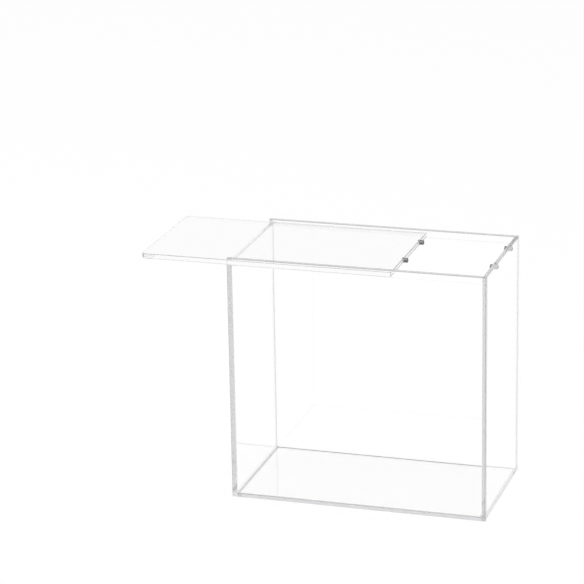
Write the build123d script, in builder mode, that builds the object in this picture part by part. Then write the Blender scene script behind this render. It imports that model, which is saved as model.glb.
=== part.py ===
from build123d import *
import os

os.makedirs("parts", exist_ok=True)

# Display case for one sealed box of card packs, made of clear polished sheet, in millimetres.
# The origin is the middle of the underside, +Z is up and the front faces -Y.
# The lid runs in channels milled in the two long walls and slides out towards -X,
# over the lower left wall. It is drawn partly open, as it stands in use.

# Case
case_length = 152.0
case_depth = 84.0
case_height = 146.0
wall_thickness = 3.0
end_thickness = 2.5
base_thickness = 1.5
edge_break = 0.35

# Lid, and the channels that carry it
lid_thickness = 3.0
lid_overhang = 4.8
lid_open = 47.9
lid_corner_radius = 3.0
lip_height = 1.2
channel_depth = 1.5
side_gap = 0.3
running_gap = 0.15

# Magnetic catch
magnet_length = 3.4
magnet_spacing = 36.0
magnet_offset = 6.0
magnet_edge_break = 0.4
magnet_gap = 0.1
bore_gap = 0.04
bore_skin = 0.1
lid_bore_depth = 1.0
wall_bore_floor = 1.5

# Places that follow from the sizes above
left_face = -case_length / 2
right_face = case_length / 2
stop_face = right_face - end_thickness
front_face = -case_depth / 2
front_inner_face = front_face + wall_thickness
inner_depth = case_depth - 2 * wall_thickness
inner_length = case_length - 2 * end_thickness
channel_top = case_height - lip_height
channel_height = lid_thickness + 2 * running_gap
channel_floor = channel_top - channel_height
channel_middle = channel_top - channel_height / 2
lid_bottom = channel_floor + running_gap
channel_run = stop_face - left_face + channel_height

# Magnets stand proud of the lid's end and of the right wall, and meet when the lid is shut
bore_diameter = lid_thickness - 2 * bore_skin
magnet_diameter = bore_diameter - 2 * bore_gap
wall_bore_depth = end_thickness - wall_bore_floor
lid_magnet_proud = magnet_length - lid_bore_depth
wall_magnet_proud = magnet_length - wall_bore_depth
magnet_front = magnet_offset - magnet_spacing / 2
magnet_rear = magnet_offset + magnet_spacing / 2

# Lid, from its shut place to its drawn place
lid_shut_end = stop_face - wall_magnet_proud - magnet_gap - lid_magnet_proud
lid_width = inner_depth + 2 * (channel_depth - side_gap)
lid_length = lid_shut_end - left_face + lid_overhang
lid_end = lid_shut_end - lid_open
lid_centre = lid_end - lid_length / 2


def save_piece(piece, name):
    """Label a finished piece and write it under the same name."""
    piece.part.label = name
    export_step(piece.part, f"parts/{name}.step")


# Bottom panel: thin sheet let in between the four walls, flush with their lower edges
with BuildPart() as bottom_panel:
    with BuildSketch(Plane.XY):
        Rectangle(inner_length, inner_depth)
    extrude(amount=base_thickness)
save_piece(bottom_panel, "bottom_panel")

# Front panel: full-length wall, with its rim and all the edges of its outer face eased
with BuildPart() as front_panel:
    with BuildSketch(Plane.XY):
        with Locations((0, front_face + wall_thickness / 2)):
            Rectangle(case_length, wall_thickness)
    extrude(amount=case_height)
    outer_edges = front_panel.edges().group_by(Axis.Y)[0]
    inner_rim = front_panel.edges().group_by(Axis.Z)[-1].sort_by(Axis.Y)[-1]
    chamfer([*outer_edges, inner_rim], length=edge_break)
    # Lid channel: runs in from the left end and stops, with the cutter's round end,
    # at the right wall. The strip left above it is the lip that holds the lid down.
    with BuildSketch(Plane.XZ.offset(-front_inner_face)):
        with Locations((stop_face - channel_run / 2, channel_middle)):
            SlotOverall(channel_run, channel_height)
    extrude(amount=channel_depth, mode=Mode.SUBTRACT)
save_piece(front_panel, "front_panel")

# Back panel: the front panel's twin, with its channel facing forward
with BuildPart() as back_panel:
    mirror(front_panel.part, about=Plane.XZ)
save_piece(back_panel, "back_panel")

# Left end panel: lower than the rest, so that the lid passes over it
with BuildPart() as left_end_panel:
    with BuildSketch(Plane.XY):
        with Locations((left_face + end_thickness / 2, 0)):
            Rectangle(end_thickness, inner_depth)
    extrude(amount=channel_floor)
    top_edges = left_end_panel.edges().group_by(Axis.Z)[-1].filter_by(Axis.Y)
    foot_edge = left_end_panel.edges().group_by(Axis.Z)[0].filter_by(Axis.Y).sort_by(Axis.X)[0]
    chamfer([*top_edges, foot_edge], length=edge_break)
save_piece(left_end_panel, "left_end_panel")

# Right end panel: full height, closes the channels and holds two of the magnets
with BuildPart() as right_end_panel:
    with BuildSketch(Plane.XY):
        with Locations((right_face - end_thickness / 2, 0)):
            Rectangle(end_thickness, inner_depth)
    extrude(amount=case_height)
    top_edges = right_end_panel.edges().group_by(Axis.Z)[-1].filter_by(Axis.Y)
    foot_edge = right_end_panel.edges().group_by(Axis.Z)[0].filter_by(Axis.Y).sort_by(Axis.X)[-1]
    chamfer([*top_edges, foot_edge], length=edge_break)
    with BuildSketch(Plane.YZ.offset(stop_face)):
        with Locations((magnet_front, channel_middle), (magnet_rear, channel_middle)):
            Circle(bore_diameter / 2)
    extrude(amount=wall_bore_depth, mode=Mode.SUBTRACT)
save_piece(right_end_panel, "right_end_panel")

# Sliding lid: flat sheet with round outer corners and two blind bores in its inner end
with BuildPart() as sliding_lid:
    with BuildSketch(Plane.XY.offset(lid_bottom)):
        with Locations((lid_centre, 0)):
            Rectangle(lid_length, lid_width)
    extrude(amount=lid_thickness)
    outer_corners = sliding_lid.edges().filter_by(Axis.Z).group_by(Axis.X)[0]
    fillet(outer_corners, radius=lid_corner_radius)
    inner_corners = sliding_lid.edges().filter_by(Axis.Z).group_by(Axis.X)[-1]
    chamfer(inner_corners, length=edge_break)
    top_edges = sliding_lid.edges().group_by(Axis.Z)[-1]
    bottom_edges = sliding_lid.edges().group_by(Axis.Z)[0]
    chamfer(top_edges + bottom_edges, length=edge_break)
    with BuildSketch(Plane.YZ.offset(lid_end)):
        with Locations((magnet_front, channel_middle), (magnet_rear, channel_middle)):
            Circle(bore_diameter / 2)
    extrude(amount=-lid_bore_depth, mode=Mode.SUBTRACT)
save_piece(sliding_lid, "sliding_lid")


def build_magnet(inner_end, place_along_depth):
    """Plated cylinder that lies along X, with both rims rounded, from inner_end towards +X."""
    with BuildPart() as magnet:
        with BuildSketch(Plane.YZ.offset(inner_end)):
            with Locations((place_along_depth, channel_middle)):
                Circle(magnet_diameter / 2)
        extrude(amount=magnet_length)
        fillet(magnet.edges().filter_by(GeomType.CIRCLE), radius=magnet_edge_break)
    return magnet


# Lid magnets: seated on the floors of the lid's bores
lid_magnet_front = build_magnet(lid_end - lid_bore_depth, magnet_front)
save_piece(lid_magnet_front, "lid_magnet_front")
lid_magnet_rear = build_magnet(lid_end - lid_bore_depth, magnet_rear)
save_piece(lid_magnet_rear, "lid_magnet_rear")

# Case magnets: seated on the floors of the right wall's bores, facing the lid's
case_magnet_front = build_magnet(stop_face - wall_magnet_proud, magnet_front)
save_piece(case_magnet_front, "case_magnet_front")
case_magnet_rear = build_magnet(stop_face - wall_magnet_proud, magnet_rear)
save_piece(case_magnet_rear, "case_magnet_rear")
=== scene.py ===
import math

import bpy
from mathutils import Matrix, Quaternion, Vector


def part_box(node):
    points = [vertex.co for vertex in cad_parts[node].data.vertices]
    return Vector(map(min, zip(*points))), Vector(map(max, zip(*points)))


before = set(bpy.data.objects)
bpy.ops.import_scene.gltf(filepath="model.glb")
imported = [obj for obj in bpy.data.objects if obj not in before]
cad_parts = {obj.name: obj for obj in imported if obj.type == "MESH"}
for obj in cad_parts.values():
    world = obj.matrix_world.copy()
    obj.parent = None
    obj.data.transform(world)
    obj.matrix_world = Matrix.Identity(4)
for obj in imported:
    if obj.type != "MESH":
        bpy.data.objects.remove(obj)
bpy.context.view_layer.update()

# Clear acrylic display case on a white floor, in metres, with +Z up and the front facing -Y.
# Every visible piece is a CAD node as it was packed. This script gives them their materials,
# and adds the room, the lamp and the camera.

# Camera, fitted to the case's outer edges in the photograph (degrees, millimetres of lens)
CAMERA_PLACE = Vector((0.41453, -1.47599, 0.61495))
CAMERA_AIM = Vector((-0.05034, 0.0, 0.11466))
CAMERA_ROLL = math.radians(1.0427)
CAMERA_LENS = 171.43
CAMERA_SENSOR = 36.0
CAMERA_NEAR = 0.01
CAMERA_FAR = 200.0

# Room: the world has one level for the light that it gives and one for how white it is seen
FLOOR_DROP = 0.0002
FLOOR_REACH = 30.0
FLOOR_COLOUR = (0.97, 0.97, 0.97, 1.0)
FLOOR_WHITE_SHARE = 0.9
LIGHT_LEVEL = 0.8
SEEN_LEVEL = 1.0
KEY_PLACE = (-0.8, -0.9, 1.4)
KEY_AIM = (0.0, 0.0, 0.07)
KEY_SIZE = 0.8
KEY_POWER = 12.0

# Clear sheet, and its polished broad faces; the thin base and the lid look a little greyer, and the
# base's grey is painted shade for the case's shadow on the floor seen through it.
# Here and below, a noise is its scale, its detail and, if it has one, its stretch along each axis.
CLEAR = (1.0, 1.0, 1.0, 1.0)
SHEET_IOR = 1.49
BASE_SHADE_TINT = (0.957, 0.957, 0.958, 1.0)
LID_TINT = (0.961, 0.961, 0.961, 1.0)
POLISH_ROUGHNESS = 0.003
HAZE_ROUGHNESS = 0.012
HAZE_NOISE = (90.0, 4.0)
HAZE_CONTRAST = 3.0
SCRATCH_ROUGHNESS = 0.03
SCRATCH_NOISE = (60.0, 3.0, (1.0, 24.0, 24.0))
SCRATCH_LIMIT = 0.72

# Light that stays trapped in a sheet is let out after a few turns, a little greyer
TRAPPED_TURNS = 2.5
DEEP_TURNS = 7.5
TRAPPED_TINT = (0.975, 0.975, 0.978, 1.0)
SHADOW_TINT = (0.965, 0.96, 0.96, 1.0)

# Sawn and eased edges, tinted grey as painted shade for the dark lines that refraction draws along
# them; the borders are darker painted shade lines along a visible rim's edges and along the lid's
# ends
CUT_SHADE_TINT = (0.86, 0.86, 0.865, 1.0)
CUT_ROUGHNESS = 0.07
SAW_NOISE = (900.0, 2.0, (1.0, 1.0, 0.15))
SAW_SHARE = 0.5
EASED_SHADE_TINT = (0.33, 0.33, 0.335, 1.0)
EASED_ROUGHNESS = 0.05
BORDER_SHADE_TINT = (0.31, 0.31, 0.32, 1.0)
BORDER_WIDTH = 0.0012
LID_CUT_SHADE_TINT = (0.985, 0.985, 0.988, 1.0)
LID_LOW_BORDER_SHADE_TINT = (0.05, 0.05, 0.052, 1.0)
LID_BORDER_WIDTH = 0.0009

# Milled channels, which reach a little past the lid's edges
# The lip's underside is tinted grey: painted shade for the darker band that refraction gives the lip.
LIP_SHADE_TINT = (0.95, 0.95, 0.955, 1.0)
MILLED_ROUGHNESS = 0.03
MILLED_NOISE = (1500.0, 2.0)
CHANNEL_SPARE = 0.0004

# Cement in the joints, whose grey tint is painted shade for the dark joint lines, and a band of
# painted shade along the base where it meets the walls
WALL_CEMENT_SHADE = (0.8, 0.8, 0.805, 1.0)
BASE_CEMENT_SHADE = (0.85, 0.85, 0.855, 1.0)
BUBBLE = (0.76, 0.76, 0.76, 1.0)
BUBBLE_NOISE = (700.0, 1.0)
BUBBLE_LIMIT = 0.72
BASE_SEAM_SHADE = (0.42, 0.42, 0.43, 1.0)
BASE_SEAM_SHADE_WIDTH = 0.0014
BASE_SEAM_SHADE_RISE = 0.0001

# Frosted faces: the share of the light that they scatter
FROST = (0.97, 0.97, 0.97, 1.0)
LID_END_FROST = 0.25
WALL_BORE_FROST = 0.8

# Magnets, and the clear glue round them
GLUE = (0.97, 0.97, 0.97, 1.0)
PLATE = (0.18, 0.18, 0.185, 1.0)
PLATE_WORN = (0.25, 0.25, 0.25, 1.0)
PLATE_ROUGHNESS = 0.42
PLATE_UNEVENNESS = 0.15
PLATE_NOISE = (1400.0, 4.0)
LID_MAGNETS = ("lid_magnet_front", "lid_magnet_rear")
CASE_MAGNETS = ("case_magnet_front", "case_magnet_rear")

# Axes, and the high corner of a box
X, Y, Z = 0, 1, 2
HIGH = 1

# Sockets of a Mix node: its two colours, or its two numbers
MIX_COLOURS = (6, 7)
MIX_NUMBERS = (2, 3)

# Places in the CAD model that the masks need. REACH is how near to a place counts as on it,
# BORE_STEP how far inside a sheet's face its bores begin to count, and FLAT_LIMIT how squarely
# a face must look along an axis to count as a flat one.
REACH = 0.0001
BORE_STEP = 0.0003
FLAT_LIMIT = 0.95
HALF_LENGTH, HALF_DEPTH, BASE_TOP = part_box("bottom_panel")[HIGH]
OUTER_HALF_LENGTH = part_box("right_end_panel")[HIGH][X]
OUTER_HALF_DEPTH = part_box("back_panel")[HIGH][Y]
CHANNEL_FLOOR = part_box("left_end_panel")[HIGH][Z]
LID_LOW, LID_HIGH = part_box("sliding_lid")
CHANNEL_TOP = LID_HIGH[Z] + (LID_LOW[Z] - CHANNEL_FLOOR)


def link(tree, out_socket, in_socket):
    tree.links.new(out_socket, in_socket)


def add_node(tree, kind, **settings):
    node = tree.nodes.new(kind)
    for key, value in settings.items():
        setattr(node, key, value)
    return node


def calc(tree, operation, first, second=None):
    """One Math node; each input is a socket or a number."""
    node = add_node(tree, "ShaderNodeMath", operation=operation)
    for index, value in enumerate((first, second)):
        if isinstance(value, (int, float)):
            node.inputs[index].default_value = value
        elif value is not None:
            link(tree, value, node.inputs[index])
    return node.outputs[0]


def every(tree, first, *others):
    """Product of masks: 1 where all are 1."""
    for other in others:
        first = calc(tree, "MULTIPLY", first, other)
    return first


def some(tree, first, *others):
    """Largest of masks: 1 where any is 1."""
    for other in others:
        first = calc(tree, "MAXIMUM", first, other)
    return first


def inverse(tree, mask):
    return calc(tree, "SUBTRACT", 1.0, mask)


def above(tree, value, limit):
    return calc(tree, "GREATER_THAN", value, limit)


def below(tree, value, limit):
    return calc(tree, "LESS_THAN", value, limit)


def between(tree, value, low, high):
    return every(tree, above(tree, value, low), below(tree, value, high))


def near(tree, value, place):
    return between(tree, value, place - REACH, place + REACH)


def blend_colours(tree, mask, first, second):
    """First colour where the mask is 0, second where it is 1; each is a socket or a colour."""
    node = add_node(tree, "ShaderNodeMix", data_type="RGBA")
    link(tree, mask, node.inputs["Factor"])
    for index, value in zip(MIX_COLOURS, (first, second)):
        if isinstance(value, tuple):
            node.inputs[index].default_value = value
        else:
            link(tree, value, node.inputs[index])
    return node.outputs["Result"]


def blend_shaders(tree, mask, first, second):
    """First shader where the mask is 0, second where it is 1."""
    node = add_node(tree, "ShaderNodeMixShader")
    link(tree, mask, node.inputs[0])
    link(tree, first, node.inputs[1])
    link(tree, second, node.inputs[2])
    return node.outputs[0]


def plain_shader(tree, kind, colour):
    """A shader with one colour input, which takes a socket or a colour."""
    node = add_node(tree, kind)
    if isinstance(colour, tuple):
        node.inputs["Color"].default_value = colour
    else:
        link(tree, colour, node.inputs["Color"])
    return node.outputs[0]


def see_through(tree, colour):
    return plain_shader(tree, "ShaderNodeBsdfTransparent", colour)


def noise(tree, place, scale, detail, stretch=(1.0, 1.0, 1.0)):
    """Noise between 0 and 1, in the piece's own coordinates."""
    mapping = add_node(tree, "ShaderNodeMapping")
    mapping.inputs["Scale"].default_value = stretch
    link(tree, place, mapping.inputs["Vector"])
    node = add_node(tree, "ShaderNodeTexNoise")
    node.inputs["Scale"].default_value = scale
    node.inputs["Detail"].default_value = detail
    link(tree, mapping.outputs[0], node.inputs["Vector"])
    return node.outputs[0]


def new_material(name):
    material = bpy.data.materials.new(name)
    material.use_nodes = True
    material.node_tree.nodes.clear()
    return material


def close_material(material, surface):
    output = add_node(material.node_tree, "ShaderNodeOutputMaterial")
    link(material.node_tree, surface, output.inputs["Surface"])
    return material


class Sheet:
    """A clear sheet's material while it is built: its nodes, and the places and faces in it.

    The broad faces look along thin_axis.
    """

    def __init__(self, name, thin_axis):
        self.material = new_material(name)
        self.tree = self.material.node_tree
        self.place = add_node(self.tree, "ShaderNodeTexCoord").outputs["Object"]
        at = add_node(self.tree, "ShaderNodeSeparateXYZ")
        link(self.tree, self.place, at.inputs[0])
        self.x, self.y, self.z = at.outputs
        self.side_x = calc(self.tree, "ABSOLUTE", self.x)
        self.side_y = calc(self.tree, "ABSOLUTE", self.y)

        geometry = add_node(self.tree, "ShaderNodeNewGeometry")
        normal = add_node(self.tree, "ShaderNodeSeparateXYZ")
        link(self.tree, geometry.outputs["True Normal"], normal.inputs[0])
        slopes = [calc(self.tree, "ABSOLUTE", output) for output in normal.outputs]
        self.faces = [above(self.tree, slope, FLAT_LIMIT) for slope in slopes]
        self.is_broad = self.faces[thin_axis]
        self.is_eased = inverse(self.tree, some(self.tree, *self.faces))

    def colour_faces(self, cut_shade, broad_tint):
        """Colours of the cut, the eased and the broad faces, joined; the grey of the cut and eased
        faces is painted shade.
        """
        colour = blend_colours(self.tree, self.is_eased, cut_shade, EASED_SHADE_TINT)
        return blend_colours(self.tree, self.is_broad, colour, broad_tint)

    def roughness(self):
        """Polished broad faces with haze and scratches, and sawn or eased edges."""
        tree = self.tree
        cloud = calc(tree, "POWER", noise(tree, self.place, *HAZE_NOISE), HAZE_CONTRAST)
        haze = calc(tree, "MULTIPLY", cloud, HAZE_ROUGHNESS)
        lines = noise(tree, self.place, *SCRATCH_NOISE)
        scratches = calc(tree, "MULTIPLY", above(tree, lines, SCRATCH_LIMIT), SCRATCH_ROUGHNESS)
        polish = calc(tree, "ADD", calc(tree, "ADD", haze, scratches), POLISH_ROUGHNESS)

        saw_marks = noise(tree, self.place, *SAW_NOISE)
        saw_share = calc(tree, "ADD", calc(tree, "MULTIPLY", saw_marks, SAW_SHARE), 1.0 - SAW_SHARE)
        cut = calc(tree, "ADD", calc(tree, "MULTIPLY", self.is_eased, EASED_ROUGHNESS), CUT_ROUGHNESS)
        cut = calc(tree, "MULTIPLY", cut, saw_share)
        on_broad = every(tree, polish, self.is_broad)
        on_edges = every(tree, cut, inverse(tree, self.is_broad))
        return calc(tree, "ADD", on_broad, on_edges)

    def glass(self, colour, roughness):
        shader = add_node(self.tree, "ShaderNodeBsdfPrincipled")
        shader.inputs["Transmission Weight"].default_value = 1.0
        shader.inputs["IOR"].default_value = SHEET_IOR
        link(self.tree, colour, shader.inputs["Base Color"])
        link(self.tree, roughness, shader.inputs["Roughness"])
        return shader.outputs[0]

    def close(self, surface):
        """Let shadow rays and trapped light straight through, and finish the material."""
        tree = self.tree
        path = add_node(tree, "ShaderNodeLightPath")
        shadow = path.outputs["Is Shadow Ray"]
        turned = above(tree, path.outputs["Glossy Depth"], TRAPPED_TURNS)
        deep = above(tree, path.outputs["Ray Depth"], DEEP_TURNS)
        let_out = see_through(tree, blend_colours(tree, shadow, TRAPPED_TINT, SHADOW_TINT))
        surface = blend_shaders(tree, some(tree, turned, deep, shadow), surface, let_out)
        return close_material(self.material, surface)


def base_seam_shade_mask(sheet):
    """A band of painted shade where the base meets the walls: on its top and on the faces beside it.
    """
    tree = sheet.tree
    beside_wall = some(
        tree,
        above(tree, sheet.side_y, HALF_DEPTH - BASE_SEAM_SHADE_WIDTH),
        above(tree, sheet.side_x, HALF_LENGTH - BASE_SEAM_SHADE_WIDTH))
    on_base = every(tree, sheet.faces[Z], near(tree, sheet.z, BASE_TOP), beside_wall)
    on_wall = every(
        tree,
        inverse(tree, sheet.faces[Z]),
        below(tree, sheet.z, BASE_TOP + BASE_SEAM_SHADE_RISE),
        below(tree, sheet.side_y, HALF_DEPTH + REACH),
        below(tree, sheet.side_x, HALF_LENGTH + REACH))
    return some(tree, on_base, on_wall)


def channel_mask(sheet):
    """Faces of the channels milled in the long walls."""
    tree = sheet.tree
    return every(
        tree,
        between(tree, sheet.side_y, HALF_DEPTH + REACH, LID_HIGH[Y] + CHANNEL_SPARE),
        between(tree, sheet.z, CHANNEL_FLOOR - REACH, CHANNEL_TOP + REACH))


def add_cement_and_shade(sheet, surface):
    """No air between cemented faces: light runs straight on, through a grey tint that is painted
    shade for the dark joint lines, past a stray bubble.

    They lie in the planes of the walls' inner faces, at the wall ends or beside the base.
    """
    tree = sheet.tree
    at_end = above(tree, sheet.side_x, HALF_LENGTH - REACH)
    at_base = below(tree, sheet.z, BASE_TOP - REACH)
    on_long_wall = every(
        tree, sheet.faces[Y], near(tree, sheet.side_y, HALF_DEPTH), some(tree, at_end, at_base))
    on_end_wall = every(tree, sheet.faces[X], near(tree, sheet.side_x, HALF_LENGTH), at_base)
    bubbles = above(tree, noise(tree, sheet.place, *BUBBLE_NOISE), BUBBLE_LIMIT)
    # The cement's grey tint is painted shade for the dark joint lines; stray bubbles are a little
    # greyer.
    joint_shade_and_bubbles = blend_colours(tree, at_base, WALL_CEMENT_SHADE, BASE_CEMENT_SHADE)
    joint_shade_and_bubbles = blend_colours(tree, bubbles, joint_shade_and_bubbles, BUBBLE)
    is_cemented = some(tree, on_long_wall, on_end_wall)
    return blend_shaders(tree, is_cemented, surface, see_through(tree, joint_shade_and_bubbles))


def bore_mask(sheet, magnets, from_x, to_x):
    """Faces of the blind bores: all that lies in the magnets' boxes, between two places along X."""
    tree = sheet.tree
    masks = []
    for name in magnets:
        low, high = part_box(name)
        masks.append(every(
            tree,
            between(tree, sheet.x, max(low[X], from_x) - REACH, min(high[X], to_x) + REACH),
            between(tree, sheet.y, low[Y] - REACH, high[Y] + REACH),
            between(tree, sheet.z, low[Z] - REACH, high[Z] + REACH)))
    return some(tree, *masks)


def add_glue(sheet, in_bore, surface):
    """Clear glue fills the gap round each magnet."""
    return blend_shaders(sheet.tree, in_bore, surface, see_through(sheet.tree, GLUE))


def add_frost(sheet, mask, share, surface):
    """Sawn or drilled faces scatter a share of the light."""
    frost = plain_shader(sheet.tree, "ShaderNodeBsdfDiffuse", FROST)
    return blend_shaders(sheet.tree, calc(sheet.tree, "MULTIPLY", mask, share), surface, frost)


def rim_shade(sheet, thin_axis, outer):
    """Cut faces in painted shade, with a darker painted shade line along each edge of the rim, where
    the sheet turns.
    """
    tree = sheet.tree
    side, inner = ((sheet.side_x, HALF_LENGTH), (sheet.side_y, HALF_DEPTH))[thin_axis]
    at_border = some(
        tree, below(tree, side, inner + BORDER_WIDTH), above(tree, side, outer - BORDER_WIDTH))
    return blend_colours(tree, every(tree, at_border, sheet.faces[Z]), CUT_SHADE_TINT, BORDER_SHADE_TINT)


def case_sheet(name, thin_axis, rim_outer=None, broad_tint=CLEAR, magnets=()):
    """One of the case's five sheets; rim_outer is the place of a visible rim's outer edge."""
    sheet = Sheet(name, thin_axis)
    tree = sheet.tree
    # The grey of the cut and eased faces, and of the rim's darker border lines, is painted shade.
    cut_shade = rim_shade(sheet, thin_axis, rim_outer) if rim_outer else CUT_SHADE_TINT
    colour = sheet.colour_faces(cut_shade, broad_tint)
    # A band of painted shade along the base where it meets the walls.
    colour = blend_colours(tree, base_seam_shade_mask(sheet), colour, BASE_SEAM_SHADE)

    in_channel = channel_mask(sheet)
    under_lip = every(tree, in_channel, sheet.faces[Z], above(tree, sheet.z, LID_LOW[Z]))
    colour = blend_colours(tree, in_channel, colour, CLEAR)
    # Painted shade under the lip.
    colour = blend_colours(tree, under_lip, colour, LIP_SHADE_TINT)
    tool_marks = every(tree, in_channel, noise(tree, sheet.place, *MILLED_NOISE))
    tooled = calc(tree, "MULTIPLY", tool_marks, MILLED_ROUGHNESS)
    roughness = calc(tree, "ADD", sheet.roughness(), tooled)

    surface = add_cement_and_shade(sheet, sheet.glass(colour, roughness))
    if magnets:
        in_bore = bore_mask(sheet, magnets, HALF_LENGTH + BORE_STEP, OUTER_HALF_LENGTH)
        surface = add_glue(sheet, in_bore, surface)
        surface = add_frost(sheet, in_bore, WALL_BORE_FROST, surface)
    return sheet.close(surface)


def lid_sheet():
    """The lid, whose lightly frosted ends are painted a faint shade, with a dark painted shade line
    along each edge.
    """
    sheet = Sheet("clear_lid", Z)
    tree = sheet.tree
    at_low = below(tree, sheet.z, LID_LOW[Z] + LID_BORDER_WIDTH)
    at_high = above(tree, sheet.z, LID_HIGH[Z] - LID_BORDER_WIDTH)
    on_border = every(tree, some(tree, at_low, at_high), sheet.faces[X])
    # The lid's cut ends are painted a faint shade, with darker painted shade lines along their edges.
    border_shade = blend_colours(tree, at_low, BORDER_SHADE_TINT, LID_LOW_BORDER_SHADE_TINT)
    cut_shade = blend_colours(tree, on_border, LID_CUT_SHADE_TINT, border_shade)
    colour = sheet.colour_faces(cut_shade, LID_TINT)

    surface = sheet.glass(colour, sheet.roughness())
    surface = add_frost(sheet, sheet.faces[X], LID_END_FROST, surface)
    in_bore = bore_mask(sheet, LID_MAGNETS, LID_LOW[X], LID_HIGH[X] - BORE_STEP)
    return sheet.close(add_glue(sheet, in_bore, surface))


def magnet_material():
    """Satin nickel plate in two blotched greys."""
    material = new_material("magnet_plate")
    tree = material.node_tree
    place = add_node(tree, "ShaderNodeTexCoord").outputs["Object"]
    blotch = noise(tree, place, *PLATE_NOISE)
    uneven = calc(tree, "MULTIPLY", blotch, PLATE_UNEVENNESS)
    shader = add_node(tree, "ShaderNodeBsdfPrincipled")
    shader.inputs["Metallic"].default_value = 1.0
    link(tree, blend_colours(tree, blotch, PLATE, PLATE_WORN), shader.inputs["Base Color"])
    link(tree, calc(tree, "ADD", uneven, PLATE_ROUGHNESS), shader.inputs["Roughness"])
    return close_material(material, shader.outputs[0])


def seen_ray(tree):
    """1 for camera, glossy and transmission rays, which show the white backdrop."""
    path = add_node(tree, "ShaderNodeLightPath")
    return some(
        tree,
        path.outputs["Is Camera Ray"],
        path.outputs["Is Glossy Ray"],
        path.outputs["Is Transmission Ray"])


def make_world():
    world = bpy.data.worlds.new("studio")
    bpy.context.scene.world = world
    world.use_nodes = True
    tree = world.node_tree
    tree.nodes.clear()
    background = add_node(tree, "ShaderNodeBackground")
    background.inputs["Color"].default_value = CLEAR
    strength = add_node(tree, "ShaderNodeMix", data_type="FLOAT")
    for index, level in zip(MIX_NUMBERS, (LIGHT_LEVEL, SEEN_LEVEL)):
        strength.inputs[index].default_value = level
    link(tree, seen_ray(tree), strength.inputs["Factor"])
    link(tree, strength.outputs[0], background.inputs["Strength"])
    output = add_node(tree, "ShaderNodeOutputWorld")
    link(tree, background.outputs[0], output.inputs["Surface"])


def make_floor():
    """Wide white floor: mostly its own white where it is seen, and it takes the case's shadow."""
    mesh = bpy.data.meshes.new("floor")
    r = FLOOR_REACH
    mesh.from_pydata([(-r, -r, 0), (r, -r, 0), (r, r, 0), (-r, r, 0)], [], [(0, 1, 2, 3)])
    floor = bpy.data.objects.new("floor", mesh)
    bpy.context.scene.collection.objects.link(floor)
    floor.location.z = -FLOOR_DROP
    material = new_material("floor_white")
    tree = material.node_tree
    diffuse = plain_shader(tree, "ShaderNodeBsdfDiffuse", FLOOR_COLOUR)
    glow = add_node(tree, "ShaderNodeEmission").outputs[0]
    white = calc(tree, "MULTIPLY", seen_ray(tree), FLOOR_WHITE_SHARE)
    close_material(material, blend_shaders(tree, white, diffuse, glow))
    mesh.materials.append(material)


def make_camera():
    data = bpy.data.cameras.new("camera")
    data.lens = CAMERA_LENS
    data.sensor_width = CAMERA_SENSOR
    data.clip_start = CAMERA_NEAR
    data.clip_end = CAMERA_FAR
    camera = bpy.data.objects.new("camera", data)
    bpy.context.scene.collection.objects.link(camera)
    forward = (CAMERA_AIM - CAMERA_PLACE).normalized()
    level = forward.to_track_quat("-Z", "Y")
    camera.rotation_mode = "QUATERNION"
    camera.rotation_quaternion = Quaternion(forward, CAMERA_ROLL) @ level
    camera.location = CAMERA_PLACE
    bpy.context.scene.camera = camera


def make_key_lamp():
    data = bpy.data.lights.new("key", "AREA")
    data.shape = "DISK"
    data.size = KEY_SIZE
    data.energy = KEY_POWER
    lamp = bpy.data.objects.new("key", data)
    bpy.context.scene.collection.objects.link(lamp)
    lamp.location = KEY_PLACE
    lamp.rotation_mode = "QUATERNION"
    lamp.rotation_quaternion = (Vector(KEY_AIM) - Vector(KEY_PLACE)).to_track_quat("-Z", "Y")


def dress_nodes():
    long_wall = case_sheet("clear_long_wall", Y, rim_outer=OUTER_HALF_DEPTH)
    plate = magnet_material()
    materials = {
        # The base's grey tint is painted shade for the case's shadow on the floor below it.
        "bottom_panel": case_sheet("clear_base", Z, broad_tint=BASE_SHADE_TINT),
        "front_panel": long_wall,
        "back_panel": long_wall,
        "left_end_panel": case_sheet("clear_left_end", X),
        "right_end_panel": case_sheet(
            "clear_right_end", X, rim_outer=OUTER_HALF_LENGTH, magnets=CASE_MAGNETS),
        "sliding_lid": lid_sheet(),
    }
    for name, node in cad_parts.items():
        node.data.materials.clear()
        node.data.materials.append(materials.get(name, plate))


make_camera()
make_world()
make_floor()
make_key_lamp()
dress_nodes()

bpy.context.scene.view_settings.view_transform = "Standard"
